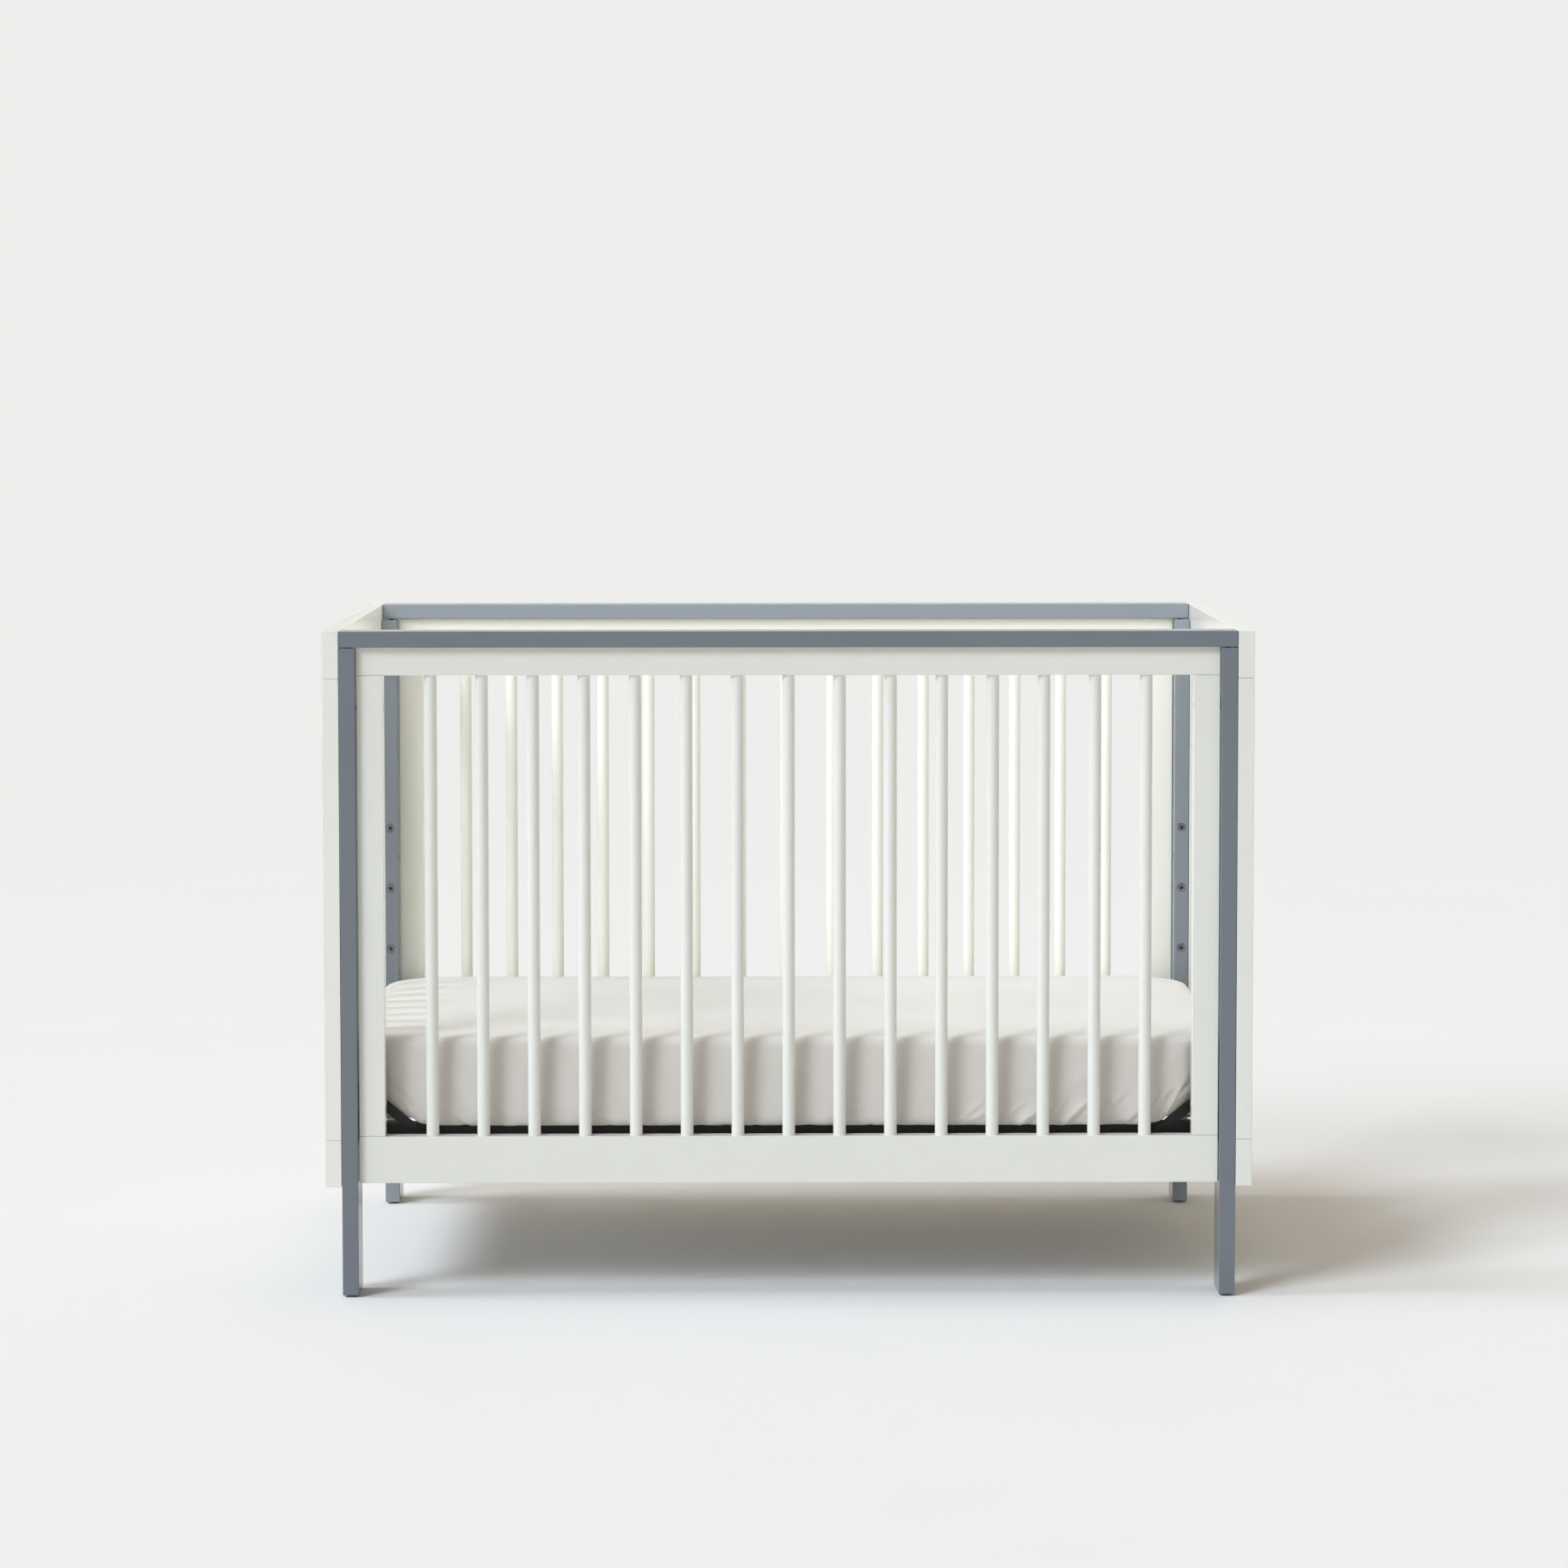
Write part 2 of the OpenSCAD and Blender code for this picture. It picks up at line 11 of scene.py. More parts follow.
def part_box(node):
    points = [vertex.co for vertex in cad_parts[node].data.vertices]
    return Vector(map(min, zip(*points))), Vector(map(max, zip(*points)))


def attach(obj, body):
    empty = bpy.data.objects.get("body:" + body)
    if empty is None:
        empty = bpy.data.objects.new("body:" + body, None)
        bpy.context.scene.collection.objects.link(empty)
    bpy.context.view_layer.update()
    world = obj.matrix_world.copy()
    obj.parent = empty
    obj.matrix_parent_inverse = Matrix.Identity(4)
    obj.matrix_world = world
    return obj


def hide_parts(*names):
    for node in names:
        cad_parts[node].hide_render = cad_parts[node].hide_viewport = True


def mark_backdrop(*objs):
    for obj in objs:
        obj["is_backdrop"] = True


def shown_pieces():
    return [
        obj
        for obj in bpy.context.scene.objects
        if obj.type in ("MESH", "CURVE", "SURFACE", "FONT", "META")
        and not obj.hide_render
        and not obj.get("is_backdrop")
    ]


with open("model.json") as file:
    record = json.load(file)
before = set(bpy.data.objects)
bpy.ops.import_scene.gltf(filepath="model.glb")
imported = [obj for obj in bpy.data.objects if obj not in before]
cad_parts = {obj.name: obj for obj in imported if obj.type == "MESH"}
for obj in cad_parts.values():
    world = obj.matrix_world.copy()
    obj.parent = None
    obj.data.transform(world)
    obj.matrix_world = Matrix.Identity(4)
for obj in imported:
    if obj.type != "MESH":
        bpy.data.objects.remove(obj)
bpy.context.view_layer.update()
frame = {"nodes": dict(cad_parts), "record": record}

MM = 0.001
nodes = frame["nodes"]
scene = bpy.context.scene


# ---------------------------------------------------------------- camera

SENSOR = 36.0
LENS = 96.8758
LENS_SHIFT = -0.099845
CAMERA_PLACE = (-34.6 * MM, -6605.6 * MM, 1372.8 * MM)
CAMERA_PITCH = 0.06
CAMERA_YAW = 0.0045
CAMERA_ROLL = 0.00075


def make_camera():
    """Camera in front of the crib, a little above its top, on a long lens."""
    data = bpy.data.cameras.new("camera")
    data.sensor_width = SENSOR
    data.lens = LENS
    data.shift_y = LENS_SHIFT
    data.clip_end = 200
    camera = bpy.data.objects.new("camera", data)
    scene.collection.objects.link(camera)
    camera.location = CAMERA_PLACE
    ahead = Vector((math.sin(CAMERA_YAW) * math.cos(CAMERA_PITCH),
                    math.cos(CAMERA_YAW) * math.cos(CAMERA_PITCH),
                    -math.sin(CAMERA_PITCH)))
    turn = ahead.to_track_quat("-Z", "Y").to_matrix()
    camera.rotation_euler = turn.to_euler()
    camera.rotation_euler.rotate_axis("Z", -CAMERA_ROLL)
    scene.camera = camera


# ---------------------------------------------------------------- nodes and colours

def linear(hex_colour):
    """A colour in sRGB hex as linear red, green, blue and alpha."""
    channels = [int(hex_colour[i:i + 2], 16) / 255 for i in (1, 3, 5)]
    return tuple(c / 12.92 if c <= 0.04045 else ((c + 0.055) / 1.055) ** 2.4 for c in channels) + (1.0,)


def add_node(tree, kind, inputs=None, **settings):
    """Adds a node. Each input is given by its name or number, with a value, with the socket it links to, or
    with a list of sockets where it takes several."""
    node = tree.nodes.new(kind)
    for name, value in settings.items():
        setattr(node, name, value)
    for socket, value in (inputs or {}).items():
        for source in value if isinstance(value, list) else [value]:
            if isinstance(source, bpy.types.NodeSocket):
                tree.links.new(source, node.inputs[socket])
            else:
                node.inputs[socket].default_value = source
    return node


def new_material(name, **surface):
    """A material with one Principled shader. Its settings are the socket names with _ for spaces."""
    material = bpy.data.materials.new(name)
    material.use_nodes = True
    tree = material.node_tree
    shader = tree.nodes["Principled BSDF"]
    for socket, value in surface.items():
        shader.inputs[socket.replace("_", " ")].default_value = value
    return material, tree, shader


def scaled_coordinates(tree, sizes, source="Object"):
    """Coordinates in which one unit is the given size in millimetres along each axis."""
    place = add_node(tree, "ShaderNodeTexCoord")
    scale = tuple(1 / (size * MM) for size in sizes)
    return add_node(tree, "ShaderNodeMapping", {"Vector": place.outputs[source], "Scale": scale}).outputs[0]


# Most of a noise's values lie between these two.
PATCH_LOW, PATCH_HIGH = 0.25, 0.75


def mottle(tree, sizes, detail, roughness=0.5, source="Object"):
    """Uneven patches from 0 to 1, with their sizes in millimetres along each axis."""
    place = scaled_coordinates(tree, sizes, source)
    return add_node(tree, "ShaderNodeTexNoise", {"Vector": place, "Scale": 1.0, "Detail": detail,
                                                 "Roughness": roughness}).outputs["Fac"]


def tint(tree, shader, patches, first, second):
    """Colours the surface from the first colour to the second by its patches."""
    share = add_node(tree, "ShaderNodeMapRange",
                     {"Value": patches, "From Min": PATCH_LOW, "From Max": PATCH_HIGH}).outputs[0]
    mix = add_node(tree, "ShaderNodeMix", {0: share}, data_type="RGBA")
    first_colour, second_colour = [socket for socket in mix.inputs if socket.type == "RGBA"]
    first_colour.default_value = linear(first)
    second_colour.default_value = linear(second)
    mixed = next(socket for socket in mix.outputs if socket.type == "RGBA")
    tree.links.new(mixed, shader.inputs["Base Color"])


def vary_roughness(tree, shader, patches, low, high):
    """Runs the surface's roughness from low to high by its patches."""
    level = add_node(tree, "ShaderNodeMapRange", {"Value": patches, "From Min": PATCH_LOW,
                                                  "From Max": PATCH_HIGH, "To Min": low, "To Max": high})
    tree.links.new(level.outputs[0], shader.inputs["Roughness"])


def relief(tree, shader, *layers):
    """Raises the surface by layers on top of each other, each a height from 0 to 1 and a depth in
    millimetres."""
    under = {}
    for height, depth in layers:
        layer = add_node(tree, "ShaderNodeBump",
                         {"Height": height, "Distance": depth * MM, "Strength": 1.0, **under})
        under = {"Normal": layer.outputs[0]}
    tree.links.new(under["Normal"], shader.inputs["Normal"])


# ---------------------------------------------------------------- materials

GRAIN_LONG, GRAIN_ACROSS = 140, 3


def lacquered_wood(name, colour, shade, axis, roughness):
    """Solid wood under satin lacquer: even, with a faint stipple and the grain just telling through."""
    material, tree, shader = new_material(name, Roughness=roughness)
    sizes = [GRAIN_ACROSS] * 3
    sizes["xyz".index(axis)] = GRAIN_LONG
    grain = mottle(tree, sizes, detail=3, roughness=0.6)
    cloud = mottle(tree, (160, 160, 160), detail=3)
    stipple = mottle(tree, (1.6, 1.6, 1.6), detail=1)
    tint(tree, shader, cloud, colour, shade)
    vary_roughness(tree, shader, cloud, roughness - 0.02, roughness + 0.03)
    relief(tree, shader, (grain, 0.004), (stipple, 0.003))
    return material


def zinc_plate(name, colour, shade, roughness):
    """Bright zinc on turned steel: a grey metal, blotched and finely scratched."""
    material, tree, shader = new_material(name, Metallic=1.0, Roughness=roughness)
    blotch = mottle(tree, (3, 3, 3), detail=4)
    scratch = mottle(tree, (0.4, 0.4, 5), detail=2)
    tint(tree, shader, blotch, colour, shade)
    vary_roughness(tree, shader, blotch, roughness - 0.08, roughness + 0.1)
    relief(tree, shader, (scratch, 0.02))
    return material


def powder_coat(name, colour, shade):
    """Black powder coat on steel: satin, with a fine orange peel that breaks up the highlights."""
    material, tree, shader = new_material(name, Roughness=0.42)
    peel = mottle(tree, (1.1, 1.1, 1.1), detail=2)
    dust = mottle(tree, (40, 40, 40), detail=4)
    tint(tree, shader, dust, colour, shade)
    vary_roughness(tree, shader, dust, 0.36, 0.5)
    relief(tree, shader, (peel, 0.08))
    return material


def raw_beech(name):
    """Raw turned beech: pale pinkish tan with short dark flecks along the dowel."""
    material, tree, shader = new_material(name, Roughness=0.6)
    fleck = mottle(tree, (0.7, 0.7, 9), detail=3)
    tint(tree, shader, fleck, "#dcbf95", "#b98f5f")
    relief(tree, shader, (fleck, 0.05))
    return material


def moulded_nylon(name):
    """Moulded nylon: milky off-white, dull, with faint scuffs."""
    material, tree, shader = new_material(name, Roughness=0.5)
    scuff = mottle(tree, (6, 6, 2), detail=4)
    tint(tree, shader, scuff, "#dcdcd8", "#c9c8c2")
    relief(tree, shader, (scuff, 0.03))
    return material


def woven(tree, shader, thread_mm, depth_mm):
    """Raises a plain weave along the cloth's own map: warp and weft threads pass over and under each other,
    and some are thicker."""
    cell = scaled_coordinates(tree, (thread_mm, thread_mm, thread_mm), "UV")
    parts = add_node(tree, "ShaderNodeSeparateXYZ", {0: cell})
    waves = []
    for axis in ("X", "Y"):
        angle = add_node(tree, "ShaderNodeMath", {0: parts.outputs[axis], 1: math.pi}, operation="MULTIPLY")
        waves.append(add_node(tree, "ShaderNodeMath", {0: angle.outputs[0]}, operation="SINE").outputs[0])
    crossing = add_node(tree, "ShaderNodeMath", {0: waves[0], 1: waves[1]}, operation="MULTIPLY").outputs[0]
    slub = mottle(tree, (40, 1.5, 40), detail=2, source="UV")
    relief(tree, shader, (crossing, depth_mm), (slub, depth_mm * 1.5))


def percale_cotton(name):
    """Plain woven cotton: warm off-white, matt with a soft sheen, with its threads drawn coarse."""
    material, tree, shader = new_material(name, Roughness=0.85, Sheen_Weight=0.12, Sheen_Roughness=0.5)
    cloud = mottle(tree, (90, 90, 90), detail=4)
    tint(tree, shader, cloud, "#e0dad3", "#dcd6ce")
    woven(tree, shader, 1.5, 0.12)
    return material


def elastic_thread(name):
    """Twisted polyester sewing thread: white and a little brighter than the cloth."""
    material, tree, shader = new_material(name, Roughness=0.6, Sheen_Weight=0.1)
    twist = mottle(tree, (0.5, 0.5, 0.5), detail=1)
    tint(tree, shader, twist, "#f2efea", "#dcd7cf")
    relief(tree, shader, (twist, 0.1))
    return material


def quilted_ticking(name):
    """Quilted polyester ticking: clean white, finely woven, matt."""
    material, tree, shader = new_material(name, Roughness=0.8, Sheen_Weight=0.1)
    cloud = mottle(tree, (60, 60, 60), detail=3)
    tint(tree, shader, cloud, "#f3f2ee", "#e9e7e1")
    woven(tree, shader, 1.2, 0.1)
    return material


WHITE, WHITE_SHADE = "#efefe7", "#edede5"
GREY, GREY_SHADE = "#767d84", "#727980"


def paint(node_name, material):
    """Gives a CAD node its finish."""
    data = nodes[node_name].data
    data.materials.clear()
    data.materials.append(material)


def finish_cad_nodes():
    """Each board's grain runs along its length."""
    white = {axis: lacquered_wood(f"white_lacquered_wood_{axis}", WHITE, WHITE_SHADE, axis, 0.17)
             for axis in "xyz"}
    grey = {axis: lacquered_wood(f"grey_lacquered_wood_{axis}", GREY, GREY_SHADE, axis, 0.16)
            for axis in "xz"}
    zinc_bolt = zinc_plate("zinc_plated_bolt", "#b4b7b9", "#9a9c9e", 0.34)
    zinc_insert = zinc_plate("zinc_plated_insert", "#8b9095", "#7b8085", 0.32)
    spring = zinc_plate("oiled_spring_wire", "#85878a", "#5f6164", 0.38)
    steel = powder_coat("black_powder_coat", "#0c0c0d", "#141415")
    beech = raw_beech("raw_beech")
    nylon = moulded_nylon("moulded_nylon")
    finishes = {"zinc_bolt": zinc_bolt, "zinc_insert": zinc_insert, "black_enamelled_steel": steel,
                "beech_dowel": beech, "nylon_glide": nylon, "spring_wire": spring}
    for part in frame["record"]["subparts"]:
        name, slot = part["node"], part["material_slot"]
        if slot == "white_painted_wood":
            along = "z"
            if name.endswith("_rail"):
                along = "y" if "_end_" in name else "x"
            paint(name, white[along])
        elif slot == "grey_painted_wood":
            paint(name, grey["x" if name.startswith("cap") else "z"])
        elif slot in finishes:
            paint(name, finishes[slot])
    return spring


# ---------------------------------------------------------------- mattress and sheet

SHEET_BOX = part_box("fitted_sheet")
HALF_LENGTH, HALF_WIDTH = SHEET_BOX[1].x, SHEET_BOX[1].y
BOTTOM, TOP = SHEET_BOX[0].z, SHEET_BOX[1].z
PLAN_RADIUS = 88 * MM
EDGE_RADIUS = 12 * MM
CORE_INSET = 3 * MM
SHEET_INSET = 0.8 * MM
HANGER_SLOPE = math.radians(39.6)
LIFT_DEPTH = 50 * MM
LIFT_FADE = 60 * MM
LIFT_BLEND = 26 * MM
VOXEL = 6.6 * MM


def lift_foot():
    """Where the mattress's underside starts to rise over a hanger, from the CAD sheet."""
    return max(abs(v.co.x) for v in nodes["fitted_sheet"].data.vertices
               if v.co.z < BOTTOM + 0.5 * MM and abs(v.co.y) > HALF_WIDTH - LIFT_DEPTH)


LIFT_FOOT = lift_foot()


def smoothstep(value, low, high):
    t = np.clip((value - low) / (high - low), 0, 1)
    return t * t * (3 - 2 * t)


def smooth_max(a, b, radius):
    h = np.maximum(radius - np.abs(a - b), 0) / radius
    return np.maximum(a, b) + h * h * radius / 4


def lift_distance(p):
    """Distance beyond the slopes that the hangers' arms give the underside at its ends."""
    outwards, upwards = np.abs(p[:, 0]) - LIFT_FOOT, p[:, 2] - BOTTOM
    return outwards * math.sin(HANGER_SLOPE) - upwards * math.cos(HANGER_SLOPE)


def round_corner(a, b, radius):
    """Distance outside a round corner, from the distances past its centre along each side."""
    return np.hypot(np.maximum(a, 0), np.maximum(b, 0)) + np.minimum(np.maximum(a, b), 0) - radius


def plan_distance(p, inset=0):
    """Distance outside the mattress's outline seen from above, drawn in by the inset."""
    past_x = np.abs(p[:, 0]) - (HALF_LENGTH - inset - PLAN_RADIUS)
    past_y = np.abs(p[:, 1]) - (HALF_WIDTH - inset - PLAN_RADIUS)
    return round_corner(past_x, past_y, PLAN_RADIUS)


def mattress_distance(p, inset):
    """Distance from points to the mattress's surface, less than 0 inside it: a slab with round corners and
    soft edges, lifted over the four hangers."""
    height = np.abs(p[:, 2] - (BOTTOM + TOP) / 2) - (TOP - BOTTOM) / 2
    slab = round_corner(plan_distance(p) + EDGE_RADIUS, height + EDGE_RADIUS, EDGE_RADIUS)
    between_hangers = 1 - smoothstep(np.abs(p[:, 1]), HALF_WIDTH - 1.9 * LIFT_DEPTH, HALF_WIDTH - LIFT_DEPTH)
    lift = lift_distance(p) - LIFT_FADE * between_hangers
    return smooth_max(slab, lift, LIFT_BLEND) + inset


def settle(p, inset):
    """Moves points straight onto the mattress's surface."""
    step = 0.2 * MM
    for _ in range(4):
        d = mattress_distance(p, inset)
        slope = np.stack([mattress_distance(p + step * np.eye(3)[i], inset) - d for i in range(3)], 1) / step
        p = p - slope * (d / np.maximum((slope ** 2).sum(1), 1e-6))[:, None]
    return p


def points_of(data):
    co = np.zeros(len(data.vertices) * 3)
    data.vertices.foreach_get("co", co)
    return co.reshape(-1, 3)


def set_points(data, co):
    data.vertices.foreach_set("co", co.ravel())
    data.update()


def normals_of(data):
    n = np.zeros(len(data.vertices) * 3)
    data.vertices.foreach_get("normal", n)
    return n.reshape(-1, 3)


def new_object(name, data):
    obj = bpy.data.objects.new(name, data)
    scene.collection.objects.link(obj)
    return obj


def remeshed_core(name):
    """An even quad mesh of the mattress core's outside."""
    work = bmesh.new()
    work.from_mesh(nodes["mattress_core"].data)
    bmesh.ops.remove_doubles(work, verts=work.verts, dist=0.01 * MM)
    data = bpy.data.meshes.new(name)
    work.to_mesh(data)
    work.free()
    data.materials.clear()
    obj = new_object(name, data)
    remesh = obj.modifiers.new("remesh", "REMESH")
    remesh.mode = "VOXEL"
    remesh.voxel_size = VOXEL
    bake_modifiers(obj)
    return obj


def bake_modifiers(obj):
    """Replaces the object's mesh by what its modifiers make of it."""
    graph = bpy.context.evaluated_depsgraph_get()
    data = bpy.data.meshes.new_from_object(obj.evaluated_get(graph))
    obj.modifiers.clear()
    obj.data = data
    data.name = obj.name


def smoothed(data, co, rounds, share=0.5):
    """Evens out points towards their neighbours' mean."""
    edges = np.zeros(len(data.edges) * 2, int)
    data.edges.foreach_get("vertices", edges)
    edges = edges.reshape(-1, 2)
    count = np.bincount(edges.ravel(), minlength=len(co))[:, None]
    for _ in range(rounds):
        total = np.zeros_like(co)
        for axis in range(co.shape[1]):
            total[:, axis] = (np.bincount(edges[:, 0], co[edges[:, 1], axis], len(co))
                              + np.bincount(edges[:, 1], co[edges[:, 0], axis], len(co)))
        co = co + share * (total / np.maximum(count, 1) - co)
    return co


def run_cloth(obj, frames, cap, pressure=0.0, gravity=0.0, shrink=None, hem=None):
    """Simulates the piece as cloth and keeps the result, with no point moved by more than the cap."""
    before = points_of(obj.data)
    cloth = obj.modifiers.new("cloth", "CLOTH")
    settings = cloth.settings
    settings.quality = 5
    settings.mass = 0.2
    settings.tension_stiffness = 15
    settings.compression_stiffness = 15
    settings.shear_stiffness = 5
    settings.bending_stiffness = 0.3
    settings.effector_weights.gravity = gravity
    if pressure:
        settings.use_pressure = True
        settings.uniform_pressure_force = pressure
    if shrink is not None:
        settings.shrink_min, settings.shrink_max = shrink
        settings.vertex_group_shrink = hem
    cloth.collision_settings.use_collision = shrink is not None
    cloth.collision_settings.distance_min = 0.8 * MM
    cloth.point_cache.frame_end = frames
    for number in range(1, frames + 1):
        scene.frame_set(number)
    bake_modifiers(obj)
    scene.frame_set(1)
    moved = points_of(obj.data) - before
    far = np.linalg.norm(moved, axis=1)
    moved *= np.minimum(1, cap / np.maximum(far, 1e-9))[:, None]
    set_points(obj.data, before + moved)


def shade_smooth(data):
    for face in data.polygons:
        face.use_smooth = True


def cloth_map(data):
    """A map in metres that unfolds the cloth outwards from the mattress's top, so that the threads run on
    over its edges."""
    co = points_of(data)
    inner = np.stack([np.clip(co[:, 0], -HALF_LENGTH + PLAN_RADIUS, HALF_LENGTH - PLAN_RADIUS),
                      np.clip(co[:, 1], -HALF_WIDTH + PLAN_RADIUS, HALF_WIDTH - PLAN_RADIUS)], 1)
    out = co[:, :2] - inner
    out /= np.maximum(np.linalg.norm(out, axis=1), 1e-6)[:, None]
    drop = TOP - co[:, 2]
    flat = co[:, :2] + out * drop[:, None]
    loops = np.zeros(len(data.loops), int)
    data.loops.foreach_get("vertex_index", loops)
    layer = data.uv_layers.new(name="cloth")
    layer.data.foreach_set("uv", flat[loops].ravel())


CROWN = 2 * MM
LEAN = 0.009


def relaxed(co):
    """Raises the top into a slight crown, a little higher at the front than at the rear."""
    crown = CROWN * (1 - (co[:, 0] / HALF_LENGTH) ** 2) * (1 - (co[:, 1] / HALF_WIDTH) ** 2)
    share = np.clip((co[:, 2] - BOTTOM) / (TOP - BOTTOM), 0, 1)
    out = co.copy()
    out[:, 2] += (crown - LEAN * co[:, 1]) * smoothstep(share, 0.2, 1)
    return out


QUILT = 75 * MM
QUILT_DEPTH = 2.2 * MM
SWELL = 1.5 * MM


def quilting(co):
    """How far the underside's quilting seams draw the ticking in, in diamonds."""
    along, across = (co[:, 0] + co[:, 1]) / QUILT, (co[:, 0] - co[:, 1]) / QUILT
    seam = np.minimum(np.abs(along - np.round(along)), np.abs(across - np.round(across)))
    under = smoothstep(BOTTOM + 8 * MM - co[:, 2], 0, 6 * MM)
    return QUILT_DEPTH * np.exp(-(seam * QUILT / (7 * MM)) ** 2) * under


def make_mattress():
    """The foam core in its ticking: a closed padded slab whose faces swell a little, quilted underneath."""
    pad = remeshed_core("mattress_pad")
    data = pad.data
    set_points(data, relaxed(settle(smoothed(data, points_of(data), 2), CORE_INSET)))
    run_cloth(pad, 12, SWELL, pressure=3)
    data = pad.data
    co = points_of(data)
    co[:, 2] += quilting(co)
    co[:, 2] = np.maximum(co[:, 2], BOTTOM + CORE_INSET - SWELL)
    set_points(data, co)
    shade_smooth(data)
    cloth_map(data)
    data.materials.append(quilted_ticking("quilted_ticking"))
    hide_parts("mattress_core")
    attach(pad, "mattress")
    return pad


HEM = 60 * MM
ELASTIC_WIDTH = 14 * MM


def fold(co, start, end, width, height):
    """A soft fold in the sheet's side along a line from start to end, each (x, z)."""
    start, end = np.array(start), np.array(end)
    along = end - start
    length = np.linalg.norm(along)
    along = along / length
    side = co[:, [0, 2]] - start
    t = side @ along
    away = side[:, 0] * along[1] - side[:, 1] * along[0]
    bend = away + 0.12 * t * (1 - t / length)
    fade = smoothstep(t, -width, 0.3 * length) * (1 - smoothstep(t, 0.55 * length, length + width))
    return height * fade * (np.exp(-(bend / width) ** 2) - 0.6 * np.exp(-((bend - 1.6 * width) / width) ** 2))


# Each fold runs from one (x, z) place to another, in metres, with its width and height in millimetres.
FOLDS = [((0.250, 0.251), (0.292, 0.272), 4.0, 2.4), ((0.262, 0.250), (0.306, 0.292), 5.0, 2.0),
         ((0.312, 0.254), (0.362, 0.290), 4.0, 2.9), ((0.330, 0.250), (0.378, 0.280), 4.0, 2.7),
         ((0.352, 0.250), (0.392, 0.268), 3.5, 2.1), ((0.384, 0.256), (0.426, 0.302), 4.5, 3.0),
         ((0.398, 0.251), (0.444, 0.290), 4.0, 3.2), ((0.420, 0.250), (0.462, 0.276), 3.5, 2.4),
         ((0.462, 0.253), (0.508, 0.306), 5.0, 2.7), ((0.492, 0.250), (0.536, 0.290), 4.0, 2.2),
         ((0.536, 0.252), (0.590, 0.312), 5.0, 3.4), ((0.556, 0.254), (0.604, 0.330), 4.0, 2.8)]

# How strongly the folds show at each lower corner, as the signs of its x and y and the share.
CORNER_SHARES = ((1, -1, 1.0), (-1, -1, 0.3), (1, 1, 0.6), (-1, 1, 0.8))


def refine_folded_sides(data):
    """Splits the faces of the long sides' lower corners, where the folds are finer than the mesh."""
    work = bmesh.new()
    work.from_mesh(data)
    chosen = []
    for face in work.faces:
        place = face.calc_center_median()
        beside = 240 * MM < abs(place.x) < 612 * MM and abs(place.y) > HALF_WIDTH - 25 * MM
        if beside and BOTTOM + 4 * MM < place.z < TOP - 70 * MM:
            chosen.append(face)
    edges = list({edge for face in chosen for edge in face.edges})
    bmesh.ops.subdivide_edges(work, edges=edges, cuts=1, smooth=0, use_grid_fill=True)
    work.to_mesh(data)
    work.free()


def side_folds(co):
    """Tension folds in the front and rear sides, which pull up towards the corners."""
    total = np.zeros(len(co))
    on_side = smoothstep(np.abs(co[:, 1]), HALF_WIDTH - 60 * MM, HALF_WIDTH - 12 * MM)
    below = 1 - smoothstep(co[:, 2], TOP - 30 * MM, TOP - 8 * MM)
    for number, (start, end, width, height) in enumerate(FOLDS):
        for sx, sy, share in CORNER_SHARES:
            there = co * np.array([sx, 1, 1])
            there[:, 0] += 0.012 * math.sin(2.1 * number + sx + 2 * sy)
            facing = (co[:, 1] * sy > 0) * share
            total += fold(there, start, end, width * MM, height * MM) * facing
    return np.maximum(total * on_side * below, -0.5 * MM)


def corner_pockets(co):
    """The shallow groove beside each lifted corner, where the sheet's sewn pocket turns under."""
    beside = -lift_distance(co) - 22 * MM
    near = smoothstep(np.abs(co[:, 0]), LIFT_FOOT - 40 * MM, LIFT_FOOT + 10 * MM)
    on_side = smoothstep(np.abs(co[:, 1]), HALF_WIDTH - 90 * MM, HALF_WIDTH - 30 * MM)
    below = 1 - smoothstep(co[:, 2], TOP - 50 * MM, TOP - 25 * MM)
    groove = -1.5 * np.exp(-(beside / (4.5 * MM)) ** 2) + 1.2 * np.exp(-((beside + 11 * MM) / (8 * MM)) ** 2)
    return MM * groove * near * on_side * below


def keep_clear(data, inner, gap):
    """Pushes points out of an inner piece until they stand the gap off its surface."""
    tree = BVHTree.FromPolygons([v.co for v in inner.vertices], [p.vertices for p in inner.polygons])
    for vertex in data.vertices:
        place, normal, _, _ = tree.find_nearest(vertex.co)
        short = gap - (vertex.co - place).dot(normal)
        if short > 0:
            vertex.co += normal * short
    data.update()


def hem_gathers(co):
    """Ripples where the elastic draws in the hem, under the mattress and just round its lower edge."""
    around = np.arctan2(co[:, 1] / HALF_WIDTH, co[:, 0] / HALF_LENGTH)
    wave = np.sin(around * 150 + 2.5 * np.sin(around * 23)) + 0.6 * np.sin(around * 97 + 1.3)
    low = smoothstep(BOTTOM + 26 * MM - co[:, 2], 0, 26 * MM)
    return 0.7 * MM * wave * low


